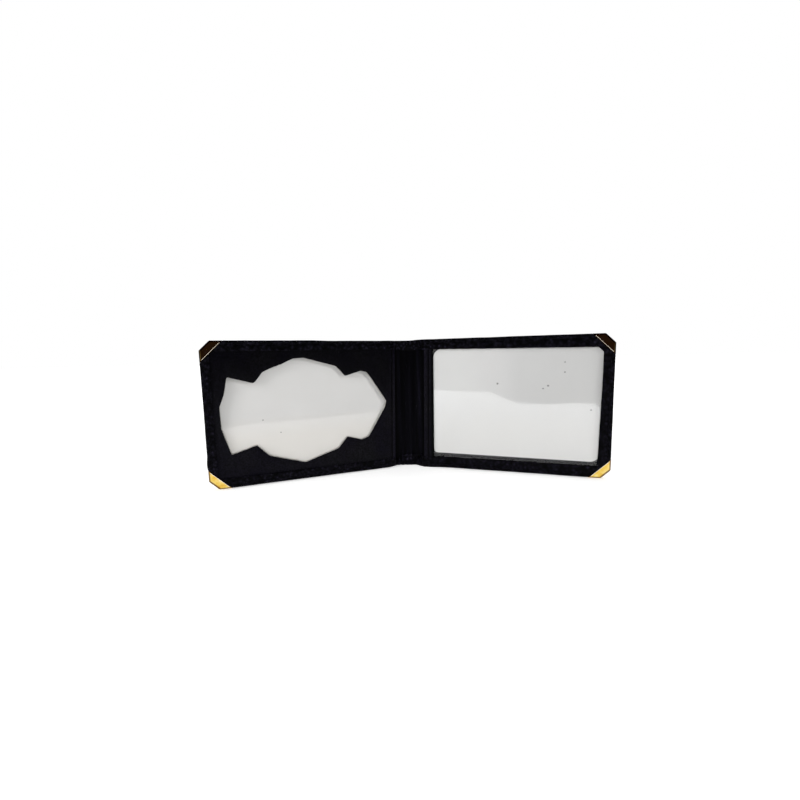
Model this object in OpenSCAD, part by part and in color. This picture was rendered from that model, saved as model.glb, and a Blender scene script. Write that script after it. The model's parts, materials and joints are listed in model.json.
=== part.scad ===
// Book-style wallet for a badge and an identity card, standing half open on its lower edges.
// The origin is under the middle of its box, +Z is up and the inner faces look towards -Y.

/* [Cover] */
// Height of the wallet
cover_h = 76.2; // [60:0.1:100]
// Width of each stiff pad, from its spine side to its outer edge
pad_w = 101.8; // [94:0.1:130]
// Angle of each cover from flat, as the wallet stands
open_angle = 19.4; // [12:0.1:30]
// Length cut off each outer corner at 45 degrees
corner_cut = 5; // [3:0.1:7]
// Radius of the turned edges
turn_r = 0.9; // [0.6:0.05:0.95]

/* [Leather] */
// Thickness of the grained outer leather
leather_t = 0.9; // [0.8:0.05:1.2]
// Thickness of the turned-in hem, skived thinner than the rest
hem_t = 0.7; // [0.6:0.05:0.9]
// Thickness of the smooth lining
lining_t = 0.4; // [0.3:0.05:0.6]
// Thickness of the smooth facing leather of the badge panel
facing_t = 0.7; // [0.5:0.05:1]
// Width of the hem along the top and bottom of the badge cover
badge_hem_w = 5.4; // [4:0.05:7]
// Width of the hem along the outer side of the badge cover
badge_side_hem_w = 4.4; // [4:0.05:6]
// Width of the hem along the top and bottom of the spine and the identity cover
id_hem_w = 6.35; // [5:0.05:8]
// Width of the hem along the outer side of the identity cover
id_side_hem_w = 5.6; // [4.5:0.05:7]

/* [Folds] */
// Distance from the axis of a fold to the pad, along the cover
fold_allowance = 4.5; // [4:0.05:8]
// Room between the two covers when the wallet is closed
closing_gap = 1; // [0.8:0.05:2]
// Room beside each fold, over what the hems need to turn a right angle
fold_slack = 0.35; // [0.25:0.05:0.8]

/* [Badge side] */
// Thickness of the badge cover's board
badge_board_t = 1; // [0.8:0.1:2]
// Thickness of the white card in the floor of the recess
badge_insert_t = 0.4; // [0.2:0.05:0.6]
// Thickness of the panel board that the cut-out goes through
core_t = 1.8; // [1.2:0.1:3]
// Panel left between the pad's spine side and the tip of the badge-shaped cut-out
cutout_tip_margin = 4.8; // [3:0.1:8]
// Panel left between the base of the cut-out and the pad's outer edge
cutout_base_margin = 7.3; // [6:0.1:12]
// Panel left between the cut-out and the cover's top and bottom edges
cutout_edge_margin = 9.1; // [7:0.1:14]

/* [Identity side] */
// Thickness of the identity cover's board
id_board_t = 2.8; // [2:0.1:4]
// Thickness of the white card in the pocket
id_insert_t = 0.4; // [0.4:0.05:0.8]
// Radius of the card's corners
id_insert_r = 2.7; // [1:0.1:5]
// Height of the card's lower edge above the window's lower edge
id_insert_lift = 2.15; // [0:0.05:4]
// Thickness of the clear film
film_t = 0.3; // [0.2:0.05:0.5]
// Length that the hem cuts off the window's upper outer corner
window_cut = 3.2; // [1:0.1:5]
// Distance from the pad's spine side to the binding strip
strip_start = 0.9; // [0.3:0.1:1.5]
// Width of the binding strip's front
strip_w = 6.1; // [4:0.1:8]
// Width of the binding strip's turned back
strip_back_w = 2.5; // [1.5:0.1:3]
// Thickness of the strip where it turns round the film's edge
strip_turn_t = 0.5; // [0.4:0.05:0.8]
// Thickness of the strip's turned back, skived to leave the card room
strip_back_t = 0.25; // [0.15:0.05:0.3]

/* [Creases] */
// Width of the pressed crease lines
crease_w = 0.3; // [0.2:0.05:0.5]
// Depth of the pressed crease lines
crease_deep = 0.2; // [0.1:0.05:0.3]
// Distance from the edge of the badge panel to its crease line
panel_crease_in = 1.6; // [0.8:0.1:2.5]
// Distance from the edge of the binding strip to its crease line
strip_crease_in = 2.6; // [1.5:0.1:3.5]

/* [Metal corners] */
// Length of a metal corner along each edge
corner_leg = 10.8; // [8:0.1:12]
// Thickness of the sheet
corner_t = 0.45; // [0.4:0.05:0.5]
// How far the sheet stands proud of the leather's faces
corner_proud = 0.2; // [0.1:0.05:0.25]
// Radius of the rolled lip along the slanted edge
lip_r = 0.24; // [0.2:0.01:0.3]
// How far the lip stands proud of the sheet
lip_proud = 0.13; // [0.1:0.01:0.15]

/* [Hidden] */
$fn = 48;
// Room around the boards and cards inside the turned edges
plate_gap = 0.1;
// Room between a metal corner and the leather that it clasps
clasp_gap = 0.05;
// Room between a bending strip and the flat leather beside it
butt_gap = 0.1;
// Overrun of every cut
over = 1;

badge_t = leather_t + badge_board_t + badge_insert_t + core_t + facing_t + hem_t;
id_t = leather_t + id_board_t + lining_t + id_insert_t + film_t + hem_t;
fold_t = leather_t + lining_t + hem_t;
axis_level = leather_t / 2;
pad_end = fold_allowance + pad_w;
riser_start = fold_allowance - hem_t;

spine_w = (badge_t - axis_level) + (id_t - axis_level) + closing_gap;
fold_half = fold_t - axis_level + fold_slack;
bend_r = fold_half / tan(open_angle / 2);
bend_trim = asin(butt_gap / bend_r);

front_t = max(badge_t, id_t) - axis_level + corner_proud;
reach = (pad_end - turn_r) * sin(open_angle) + (front_t - turn_r) * cos(open_angle) + turn_r;
axis_y = (reach - axis_level) / 2;

cutout_len = pad_w - cutout_tip_margin - cutout_base_margin;
cutout_half_h = cover_h / 2 - cutout_edge_margin;

window_start = fold_allowance + strip_start + strip_w;
window_w = pad_end - id_side_hem_w - window_start;
window_h = cover_h - 2 * id_hem_w;

// Outline of the badge-shaped cut-out: shares of its length from the tip, and of half its height
cutout_shares = [
    [0, 0.084], [0.015, 0.156], [0.113, 0.616], [0.133, 0.688], [0.174, 0.713], [0.272, 0.627],
    [0.329, 0.823], [0.489, 0.961], [0.523, 0.991], [0.582, 0.984], [0.671, 0.857], [0.703, 0.83],
    [0.762, 0.746], [0.802, 0.58], [0.816, 0.555], [0.952, 0.68], [0.973, 0.365], [0.998, 0.17],
    [1, 0.079], [0.998, -0.239], [0.953, -0.715], [0.814, -0.582], [0.746, -0.803], [0.538, -1],
    [0.329, -0.793], [0.271, -0.58], [0.176, -0.662], [0.127, -0.615], [0.012, -0.041]
];

leather_black = "#141519";
smooth_black = "#18191c";
board_grey = "#7d776c";
card_white = "#dcdcd8";
brass_gold = "#d8b04c";
film_clear = [0.92, 0.95, 0.97, 0.3];

// Depth of a level that is counted from the outer surface inwards; the fold's axis is at zero
function depth(level) = axis_level - level;

// Places in a cover's own frame: x from its fold's axis outwards, y out of its back, z up
module badge_side()
    mirror([1, 0, 0])
        id_side()
            children();

module id_side()
    translate([spine_w / 2, axis_y, 0])
        rotate([0, 0, -open_angle])
            children();

// Extrudes an upright (x, z) outline between two levels
module layer(from_level, to_level)
    translate([0, depth(from_level), 0])
        rotate([90, 0, 0])
            linear_extrude(to_level - from_level)
                children();

// Extrudes a (y, z) section along the cover
module along(from_x, to_x)
    translate([from_x, 0, 0])
        rotate([90, 0, 90])
            linear_extrude(to_x - from_x)
                children();

// Extrudes an (x, y) plan upwards
module upright(from_z, to_z)
    translate([0, 0, from_z])
        linear_extrude(to_z - from_z)
            children();

module rounded_rect(w, h, r) {
    translate([r, 0])
        square([w - 2 * r, h]);
    translate([0, r])
        square([w, h - 2 * r]);
    for (x = [r, w - r], y = [r, h - r])
        translate([x, y])
            circle(r);
}

// Plan of a layer that lies between two levels
module level_rect(from_x, to_x, from_level, to_level)
    translate([from_x, depth(to_level)])
        square([to_x - from_x, to_level - from_level]);

// Upright outline of a cover, with its outer corners cut off, drawn in by an even margin
module cover_outline(from_x, margin) {
    cut = corner_cut - margin * (2 - sqrt(2));
    end_x = pad_end - margin;
    top_z = cover_h - margin;
    polygon([
        [from_x, margin], [end_x - cut, margin], [end_x, margin + cut],
        [end_x, top_z - cut], [end_x - cut, top_z], [from_x, top_z]
    ]);
}

// A cover's whole body with rounded edges, drawn in from its edges and from its faces
module cover_block(total_t, edge_in, face_in) {
    edge_r = turn_r - edge_in;
    block_t = total_t - 2 * face_in;
    intersection() {
        along(riser_start, pad_end)
            translate([depth(total_t - face_in), edge_in])
                rounded_rect(block_t, cover_h - 2 * edge_in, edge_r);
        upright(0, cover_h)
            translate([0, depth(total_t - face_in)])
                rounded_rect(pad_end - edge_in, block_t, edge_r);
        layer(face_in, total_t - face_in)
            cover_outline(riser_start, edge_in);
    }
}

// Section of the outer leather where it carries only the lining, turned in at the top and bottom
module turned_section(hem_w)
    difference() {
        translate([depth(fold_t), 0])
            rounded_rect(fold_t, cover_h, turn_r);
        lining_section();
        translate([depth(fold_t) - over, hem_w])
            square([hem_t + lining_t + over, cover_h - 2 * hem_w]);
    }

module lining_section()
    translate([depth(leather_t + lining_t), leather_t])
        square([lining_t, cover_h - 2 * leather_t]);

// Bends a section round the fold between the spine and a cover
module fold_strip()
    translate([spine_w / 2 - fold_half, axis_y - bend_r, 0])
        rotate([0, 0, 90 - open_angle + bend_trim])
            rotate_extrude(angle = open_angle - 2 * bend_trim, $fn = 360)
                translate([bend_r, 0])
                    children();

// Everything within a given leg of a cover's outer corner
module corner_zone(total_t, leg, top)
    layer(-over, total_t + over)
        translate([pad_end, top ? cover_h : 0])
            mirror([0, top ? 0 : 1])
                polygon([[-leg - over, over], [over, over], [over, -leg - over]]);

// Outer leather of a cover: the sheet, its turned edges and the hem, with the open face between
module cover_leather(total_t, hem_w, side_hem_w, face_cut) {
    face_end = pad_end - side_hem_w;
    face_top = cover_h - hem_w;
    along(fold_half, riser_start + hem_t / 2)
        turned_section(hem_w);
    difference() {
        cover_block(total_t, 0, 0);
        layer(leather_t, total_t - hem_t)
            cover_outline(fold_allowance, leather_t);
        along(riser_start - over, fold_allowance + over)
            lining_section();
        layer(leather_t, total_t + over)
            polygon([
                [riser_start - over, hem_w], [face_end, hem_w], [face_end, face_top - face_cut],
                [face_end - face_cut, face_top], [riser_start - over, face_top]
            ]);
        for (top = [true, false])
            corner_seat(total_t, top);
    }
}

// What a metal corner takes out of the leather that it pinches
module corner_seat(total_t, top)
    difference() {
        corner_zone(total_t, corner_leg + clasp_gap, top);
        cover_block(total_t, corner_t + clasp_gap, corner_t + clasp_gap - corner_proud);
    }

// Folded sheet over an outer corner, with a rolled lip along its slanted edge on both faces
module metal_corner(total_t, top) {
    intersection() {
        corner_zone(total_t, corner_leg, top);
        difference() {
            cover_block(total_t, 0, -corner_proud);
            cover_block(total_t, corner_t, corner_t - corner_proud);
        }
    }
    for (level = [lip_r - lip_proud - corner_proud, total_t + corner_proud + lip_proud - lip_r])
        corner_lip(level, top);
}

// The lip ends where the sheet starts to round over the cover's edges
module corner_lip(level, top) {
    middle_in = corner_leg / 2 - lip_r / sqrt(2);
    lip_leg = corner_leg - 2 * (turn_r + lip_r);
    slant = top ? 135 : 45;
    translate([pad_end - middle_in, depth(level), top ? cover_h - middle_in : middle_in])
        rotate([0, slant, 0])
            cylinder(h = lip_leg * sqrt(2), r = lip_r, center = true);
}

// A flat piece that fills the cover inside its turned edges
module plate(from_x, from_level, to_level)
    layer(from_level, to_level)
        cover_outline(from_x, leather_t + plate_gap);

module cutout_outline()
    translate([fold_allowance + cutout_tip_margin, cover_h / 2])
        polygon([for (s = cutout_shares) [s[0] * cutout_len, s[1] * cutout_half_h]]);

// Spine

module spine_leather()
    color(leather_black)
        translate([0, axis_y, 0])
            along(fold_half - spine_w / 2, spine_w / 2 - fold_half)
                turned_section(id_hem_w);

module spine_lining()
    color(smooth_black)
        translate([0, axis_y, 0])
            along(fold_half - spine_w / 2, spine_w / 2 - fold_half)
                lining_section();

module badge_fold_leather()
    color(leather_black)
        mirror([1, 0, 0])
            fold_strip()
                turned_section(badge_hem_w);

module badge_fold_lining()
    color(smooth_black)
        mirror([1, 0, 0])
            fold_strip()
                lining_section();

module id_fold_leather()
    color(leather_black)
        fold_strip()
            turned_section(id_hem_w);

module id_fold_lining()
    color(smooth_black)
        fold_strip()
            lining_section();

// Badge cover

badge_core_level = leather_t + badge_board_t + badge_insert_t;
badge_face_level = badge_t - hem_t;

module badge_cover_leather()
    color(leather_black)
        badge_side()
            cover_leather(badge_t, badge_hem_w, badge_side_hem_w, 0);

module badge_cover_board()
    color(board_grey)
        badge_side()
            plate(fold_allowance + facing_t, leather_t, leather_t + badge_board_t);

module badge_insert()
    color(card_white)
        badge_side()
            plate(fold_allowance + facing_t, leather_t + badge_board_t, badge_core_level);

module badge_panel_core()
    color(board_grey)
        badge_side()
            difference() {
                plate(fold_allowance + facing_t, badge_core_level, badge_face_level - facing_t);
                layer(badge_core_level - over, badge_face_level)
                    cutout_outline();
            }

// The facing lies on the core and turns down over the pad's spine side to the gutter
module badge_panel_leather() {
    edge_in = leather_t + plate_gap;
    crease_x = fold_allowance + panel_crease_in;
    color(smooth_black)
        badge_side()
            difference() {
                union() {
                    plate(fold_allowance + facing_t, badge_face_level - facing_t, badge_face_level);
                    upright(edge_in, cover_h - edge_in)
                        turned_down_plan();
                }
                layer(badge_core_level, badge_t)
                    cutout_outline();
                upright(badge_hem_w, cover_h - badge_hem_w)
                    level_rect(crease_x, crease_x + crease_w, badge_face_level - crease_deep, badge_t);
            }
}

module turned_down_plan() {
    turn_x = fold_allowance + facing_t;
    translate([turn_x, depth(badge_face_level - facing_t)])
        intersection() {
            circle(facing_t);
            translate([-facing_t, -facing_t])
                square(facing_t);
        }
    level_rect(fold_allowance, turn_x, leather_t + lining_t, badge_face_level - facing_t);
}

module badge_gutter_lining()
    color(smooth_black)
        badge_side()
            along(fold_half, fold_allowance + facing_t)
                lining_section();

module badge_corner_top()
    color(brass_gold)
        badge_side()
            metal_corner(badge_t, true);

module badge_corner_bottom()
    color(brass_gold)
        badge_side()
            metal_corner(badge_t, false);

// Identity cover

id_pocket_level = leather_t + id_board_t + lining_t;
id_film_level = id_pocket_level + id_insert_t;
id_face_level = id_film_level + film_t;

module id_cover_leather()
    color(leather_black)
        id_side()
            cover_leather(id_t, id_hem_w, id_side_hem_w, window_cut);

module id_cover_board()
    color(board_grey)
        id_side()
            plate(fold_allowance + lining_t, leather_t, leather_t + id_board_t);

// The lining runs along the gutter, up the board's spine side and over the board
module id_pocket_lining()
    color(smooth_black)
        id_side() {
            plate(fold_allowance, id_pocket_level - lining_t, id_pocket_level);
            upright(leather_t + plate_gap, cover_h - leather_t - plate_gap) {
                level_rect(fold_allowance, fold_allowance + lining_t, leather_t, id_pocket_level);
                level_rect(fold_half, fold_allowance + lining_t, leather_t, leather_t + lining_t);
            }
        }

module id_insert()
    color(card_white)
        id_side()
            layer(id_pocket_level, id_film_level)
                translate([window_start, id_hem_w + id_insert_lift])
                    rounded_rect(window_w, window_h - id_insert_lift, id_insert_r);

module id_window_film()
    color(film_clear)
        id_side()
            plate(fold_allowance + strip_start + strip_turn_t, id_film_level, id_face_level);

// The strip is folded round the film's spine side; its ends butt against the hems
module id_window_strip() {
    strip_x = fold_allowance + strip_start;
    back_level = id_film_level - strip_back_t;
    crease_x = strip_x + strip_crease_in;
    color(leather_black)
        id_side()
            difference() {
                upright(id_hem_w, cover_h - id_hem_w)
                    union() {
                        level_rect(strip_x + strip_turn_t, strip_x + strip_w, id_face_level, id_t);
                        level_rect(strip_x, strip_x + strip_turn_t, back_level, id_t - strip_turn_t);
                        level_rect(strip_x, strip_x + strip_back_w, back_level, id_film_level);
                        translate([strip_x + strip_turn_t, depth(id_t - strip_turn_t)])
                            circle(strip_turn_t);
                    }
                upright(0, cover_h)
                    level_rect(strip_x + strip_turn_t, strip_x + strip_w, id_film_level, id_face_level);
                upright(0, cover_h)
                    level_rect(crease_x, crease_x + crease_w, id_t - crease_deep, id_t + over);
            }
}

module id_corner_top()
    color(brass_gold)
        id_side()
            metal_corner(id_t, true);

module id_corner_bottom()
    color(brass_gold)
        id_side()
            metal_corner(id_t, false);

spine_leather();
spine_lining();
badge_fold_leather();
badge_fold_lining();
id_fold_leather();
id_fold_lining();
badge_cover_leather();
badge_cover_board();
badge_insert();
badge_panel_core();
badge_panel_leather();
badge_gutter_lining();
badge_corner_top();
badge_corner_bottom();
id_cover_leather();
id_cover_board();
id_pocket_lining();
id_insert();
id_window_film();
id_window_strip();
id_corner_top();
id_corner_bottom();
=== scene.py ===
import json
import math

import bmesh
import bpy
import numpy as np
from mathutils import Matrix, Vector, noise
from mathutils.geometry import delaunay_2d_cdt


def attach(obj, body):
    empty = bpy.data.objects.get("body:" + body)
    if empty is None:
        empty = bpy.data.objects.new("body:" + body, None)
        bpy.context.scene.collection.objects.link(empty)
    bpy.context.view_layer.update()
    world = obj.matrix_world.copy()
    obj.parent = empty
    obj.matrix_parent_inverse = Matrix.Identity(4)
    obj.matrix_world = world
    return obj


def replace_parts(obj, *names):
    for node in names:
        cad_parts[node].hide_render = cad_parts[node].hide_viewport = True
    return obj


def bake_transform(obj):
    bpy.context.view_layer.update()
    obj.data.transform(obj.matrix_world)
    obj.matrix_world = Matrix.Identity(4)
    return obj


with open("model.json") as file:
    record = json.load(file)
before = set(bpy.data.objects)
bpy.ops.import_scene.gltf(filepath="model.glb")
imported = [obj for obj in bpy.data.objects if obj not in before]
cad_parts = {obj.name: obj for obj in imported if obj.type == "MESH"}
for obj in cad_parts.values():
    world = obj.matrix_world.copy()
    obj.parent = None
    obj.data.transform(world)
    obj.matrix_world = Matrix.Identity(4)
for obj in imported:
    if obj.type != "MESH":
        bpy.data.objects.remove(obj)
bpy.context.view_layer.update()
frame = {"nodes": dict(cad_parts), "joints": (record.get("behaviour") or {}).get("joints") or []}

# Sizes of the wallet in millimetres. A place on a cover is x from its fold's axis outwards, z up and
# level from the outer surface inwards.
MM = 0.001
COVER_H = 76.2
PAD_W = 101.8
OPEN_ANGLE = math.radians(19.4)
CORNER_CUT = 5.0
TURN_R = 0.9
THICK = 5.5
FOLD_THICK = 2.0
LEATHER_T = 0.7
LINING_T = 0.4
FACING_T = 0.7
AXIS_LEVEL = 0.45
PAD_START = 4.5
PAD_END = PAD_START + PAD_W
FOLD_HALF = 1.9
CORNER_LEG = 10.8
SPINE_HEM = 6.35
LINING_LEVEL = 1.3
FACE_LEVEL = THICK - LEATHER_T
CARD_LEVEL = 2.3
POCKET_LEVEL = 4.1
PANEL_EDGE = PAD_START - 0.7
LEAN_H = 64
HALF_SPINE = frame["joints"][1]["pos_m"][0] / MM
AXIS_Y = frame["joints"][1]["pos_m"][1] / MM

# The skin's own length runs from the middle of the spine, round the fold and along the cover.
SPINE_FLAT = HALF_SPINE - FOLD_HALF
BEND_R = FOLD_HALF / math.tan(OPEN_ANGLE / 2)
COVER_START = SPINE_FLAT + BEND_R * OPEN_ANGLE
SKIN_END = COVER_START + PAD_END - FOLD_HALF

# Ways along Y that a face looks
FRONT, BACK = -1, 1

# The seam's stitch, its place in from the edge and its thread, and how far in the hidden pieces end
STITCH = 3.45
SEAM_IN = 2.0
THREAD_R = 0.2
HIDDEN_HEM = 3.1

# The two halves: side of X, width of the hem and of the outer side's hem, bevel of the hem's upper
# corner, where the hem's face starts to rise, slant of the hem's upper edge and lean of its side edge,
# sags of the foot and bulges of the outer side (middle, width, depth), dip of the top (end, fade, depth)
HALVES = {
    "badge": {"side": -1, "hem": 5.4, "side_hem": 4.4, "cut": 0.5, "rise": 0.3, "slant": 0.0, "lean": 0.0,
              "sag": ((0, 8.0, 0.35),), "bulge": ((13.5, 3, 0.4),), "dip": (62, 20, 0.32)},
    "id": {"side": 1, "hem": 6.35, "side_hem": 5.9, "cut": 2.7, "rise": -2.3, "slant": -0.56, "lean": 0.6,
           "sag": ((0, 6.0, 0.266), (12, 8.5, 0.62)), "bulge": (), "dip": (8, 8, 0.32)},
}

# Short puckers that the seam draws up at the spine's foot: places, below 0 on the badge side, and rise
PUCKERS = (-6.4, -4.0, -0.8, 1.6, 5.4, 8.4)
PUCKER_RISE = 0.34

# Bands of painted light and shade across the lining, lighter on lit folds and darker in creases and
# the gutters' corners: place, width and tone
LINING_PAINTED_SHADING = ((-8.2, 1.2, -2.2), (-5.2, 1.1, 0.4), (-2.4, 1.2, -0.4), (1.8, 1.6, 0.4), (5.0, 0.8, -0.9),
               (7.15, 0.95, 1.5), (9.6, 1.1, -2.4))

# Upright folds of the lining: place, width and height
LINING_FOLDS = ((-4.6, 1.1, 0.22), (-1.6, 0.9, 0.16), (1.7, 1.2, 0.2), (6.3, 0.9, 0.3))

# A spot at the spine's top that is rubbed lighter: place, width and wear
RUBBED_SPOT = ((-10.2, 0.8, 1.0),)

# The crease pressed beside the badge panel's edge: place across it, depth, and wear that paints
# shade into the crease
FACING_CREASE = ((-0.45, 0.02, 0.3), (-0.2, 0.12, -1.6), (0, 0.24, -2.2), (0.2, 0.12, -1.6),
                 (0.45, 0.02, -0.3), (0.9, 0, 0))

# Outline of the badge-shaped cut-out: shares of its length from the tip, and of half its height
CUTOUT_SHARES = [
    (0, 0.084), (0.015, 0.156), (0.113, 0.616), (0.133, 0.688), (0.174, 0.713), (0.272, 0.627),
    (0.329, 0.823), (0.489, 0.961), (0.523, 0.991), (0.582, 0.984), (0.671, 0.857), (0.703, 0.83),
    (0.762, 0.746), (0.802, 0.58), (0.816, 0.555), (0.952, 0.68), (0.973, 0.365), (0.998, 0.17),
    (1, 0.079), (0.998, -0.239), (0.953, -0.715), (0.814, -0.582), (0.746, -0.803), (0.538, -1),
    (0.329, -0.793), (0.271, -0.58), (0.176, -0.662), (0.127, -0.615), (0.012, -0.041),
]
CUTOUT_START = PAD_START + 4.8
CUTOUT_LEN = 89.7
CUTOUT_HALF_H = 29.0
CUTOUT_NICKS = ((74.5, 63.0), (81.4, 61.1))

# The two cards and the film: level of the face, and thickness. The identity card starts at its foot and
# goes under the window's frame.
BADGE_CARD_FACE, BADGE_CARD_T = CARD_LEVEL - 0.1, 0.25
ID_CARD_FACE, ID_CARD_T = 4.46, 0.3
FILM_FACE, FILM_T = 4.74, 0.14
ID_CARD_FOOT, ID_CARD_UNDER = 8.5, 0.5
WINDOW_START = PAD_START + 7

# Six directions round a circle
SIXTHS = np.radians(np.arange(0, 360, 60))


# Placing

def skin(x):
    """Length along the skin of a place x from the fold's axis on a cover."""
    return COVER_START + x - FOLD_HALF


def place(side, s, level, z):
    """Points of the model at rest, in metres, from the skin's length, the level and the height."""
    s, level, z = np.broadcast_arrays(np.asarray(s, float), level, z)
    out = AXIS_LEVEL - level
    turn = np.clip((s - SPINE_FLAT) / BEND_R, 0, OPEN_ANGLE)
    beyond = np.maximum(s - COVER_START, 0)
    x = np.minimum(s, SPINE_FLAT) + (BEND_R + out) * np.sin(turn) + beyond * np.cos(turn)
    y = AXIS_Y + (BEND_R + out) * np.cos(turn) - BEND_R - beyond * np.sin(turn)
    return np.stack([side * x, y, z], -1) * MM


def smooth(t):
    """A soft rise from 0 to 1 as t does."""
    t = np.clip(t, 0, 1)
    return t * t * (3 - 2 * t)


def lumps(points, size, seed):
    """Smooth noise from -1 to 1 at points in millimetres, with lumps of the given size."""
    shift = Vector((seed * 17.3, seed * 5.1, seed * 9.7))
    return np.array([noise.noise(Vector(p) / size + shift) for p in points])


def humps(place_s, table):
    """Sum of smooth humps: middle, width and size of each."""
    return sum(size * np.exp(-((place_s - middle) / width) ** 2) for middle, width, size in table)


def puckers(place_s):
    """Heights of the puckers, about -0.4 in the valleys and 0.6 on the crests."""
    reach = np.exp(-(place_s / 12) ** 6)
    return (humps(place_s, [(middle, 0.8, 1.0) for middle in PUCKERS]) - 0.4) * reach


# Building

def add(name, data):
    """Puts data into the scene as an object."""
    made = bpy.data.objects.new(name, data)
    bpy.context.scene.collection.objects.link(made)
    return made


class Skin:
    """Collects rows of points, given as skin length, level and height, and the faces between them."""

    def __init__(self, side):
        self.side = side
        self.points = []
        self.wear = []
        self.faces = []

    def row(self, s, level, z, wear=0.0):
        """Wear is below 0 in dark creases and above 0 on abraded ridges. Besides real wear and dirt, it
        holds painted shade in creases, gutters and valleys, and painted highlights on lit edges and
        ridges.
        """
        s, level, z, wear = np.broadcast_arrays(np.asarray(s, float), level, z, wear)
        first = len(self.points)
        self.points.extend(zip(s.ravel(), level.ravel(), z.ravel()))
        self.wear.extend(wear.ravel())
        return list(range(first, len(self.points)))

    def band(self, a, b, closed=False):
        pairs = list(zip(a, b))
        following = pairs[1:] + (pairs[:1] if closed else [])
        for (a0, b0), (a1, b1) in zip(pairs, following):
            self.faces.append((a0, a1, b1, b0))

    def loft(self, rows, closed=False):
        for a, b in zip(rows, rows[1:]):
            self.band(a, b, closed)

    def fill(self, loop, inner, level, hole=(), wear=0.0):
        """Triangles inside a loop of points and outside a hole, through loose inner places (s, z)."""
        loose = self.row(inner[:, 0], level(inner[:, 0], inner[:, 1]), inner[:, 1], wear)
        order = list(loop) + list(hole) + loose
        flat = [Vector((self.points[i][0], self.points[i][2])) for i in order]
        n, m = len(loop), len(hole)
        edges = [(i, (i + 1) % n) for i in range(n)]
        edges += [(n + i, n + (i + 1) % m) for i in range(m)]
        _, _, faces, origins, _, _ = delaunay_2d_cdt(flat, edges, [], 1, 1e-7)
        ring = np.array([flat[n + i] for i in range(m)])
        for face in faces:
            ids = [order[origins[v][0]] for v in face]
            middle = np.mean([self.points[i] for i in ids], 0)
            if m and inside(np.array([[middle[0], middle[2]]]), ring)[0]:
                continue
            self.faces.append(tuple(ids))

    def piece(self, name):
        data = bpy.data.meshes.new(name)
        pattern = np.array(self.points, float)
        data.from_pydata(place(self.side, *pattern.T).tolist(), [], self.faces)
        for key, kind, field, values in (("pattern", "FLOAT_VECTOR", "vector", pattern.ravel()),
                                         ("wear", "FLOAT", "value", self.wear)):
            layer = data.attributes.new(key, kind, "POINT")
            layer.data.foreach_set(field, np.array(values, np.float32))
        data.validate()
        return add(name, data)


def inside(points, ring):
    """True for each point inside a ring of corners, by counting the sides that a ray crosses."""
    a, b = ring, np.roll(ring, -1, 0)
    x, y = points[:, :1], points[:, 1:]
    crosses = (a[:, 1] > y) != (b[:, 1] > y)
    rise = np.where(b[:, 1] == a[:, 1], 1, b[:, 1] - a[:, 1])
    return (crosses & (x < (b[:, 0] - a[:, 0]) * (y - a[:, 1]) / rise + a[:, 0])).sum(1) % 2 == 1


def distance(points, ring):
    """Distance of each point from the nearest side of a ring of corners."""
    a, b = ring, np.roll(ring, -1, 0)
    along = b - a
    to = points[:, None] - a
    share = np.clip((to * along).sum(2) / np.maximum((along ** 2).sum(1), 1e-12), 0, 1)
    return np.linalg.norm(to - share[..., None] * along, axis=2).min(1)


def within(places, ring, gap):
    """The places inside a ring that lie further than a gap from it."""
    places = places[inside(places, ring)]
    return places[distance(places, ring) > gap]


def closer(ring, step, least):
    """A ring of corners as points about a step apart, with at least the given number for each side."""
    close = []
    for a, b in zip(ring, np.roll(ring, -1, 0)):
        count = max(least, round(np.linalg.norm(b - a) / step))
        close.extend(a + (b - a) * k / count for k in range(count))
    return np.array(close)


def outwards(ring):
    """The way out of a ring at each of its points."""
    ahead = np.roll(ring, -1, 0) - np.roll(ring, 1, 0)
    ahead /= np.linalg.norm(ahead, axis=1)[:, None]
    return np.stack([ahead[:, 1], -ahead[:, 0]], 1)


def beside(ring, offs):
    """Places along a ring, at each of the given distances outside it."""
    return np.vstack([ring + outwards(ring) * off for off in offs])


def lattice(s, z):
    """All the places of a grid."""
    return np.stack(np.meshgrid(s, z), -1).reshape(-1, 2)


def spots(s, z):
    """Places of the flat skin as points for the noise."""
    return np.stack([s, np.zeros_like(s), z], 1)


def thicken(piece, depth, way):
    """Gives an open sheet its thickness behind the face that looks towards way."""
    facing_way(piece, way)
    mod = piece.modifiers.new("thickness", "SOLIDIFY")
    mod.thickness = depth * MM
    mod.offset = -1
    mod.use_even_offset = True
    mod.use_quality_normals = True
    return piece


def settle(piece, sharp=42):
    """Applies the modifiers and sets smooth shading between sharp edges."""
    bpy.context.view_layer.update()
    done = bpy.data.meshes.new_from_object(piece.evaluated_get(bpy.context.evaluated_depsgraph_get()))
    piece.modifiers.clear()
    piece.data = done
    done.shade_smooth()
    done.set_sharp_from_angle(angle=math.radians(sharp))
    return piece


def facing_way(piece, way=0):
    """Turns all faces of a piece alike: outwards, or for an open sheet towards -Y or +Y."""
    mesh = bmesh.new()
    mesh.from_mesh(piece.data)
    bmesh.ops.recalc_face_normals(mesh, faces=mesh.faces)
    if way and way * sum(face.normal.y * face.calc_area() for face in mesh.faces) < 0:
        bmesh.ops.reverse_faces(mesh, faces=mesh.faces)
    mesh.to_mesh(piece.data)
    mesh.free()
    return piece


def bend(piece, half):
    """Bakes a skin's placing into its mesh; the places of the fold's ends are found but not used."""
    side = HALVES[half]["side"]
    ends = [place(side, s, AXIS_LEVEL, COVER_H / 2).tolist() for s in (SPINE_FLAT, COVER_START)]
    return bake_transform(piece)


# Outer leather

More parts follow.
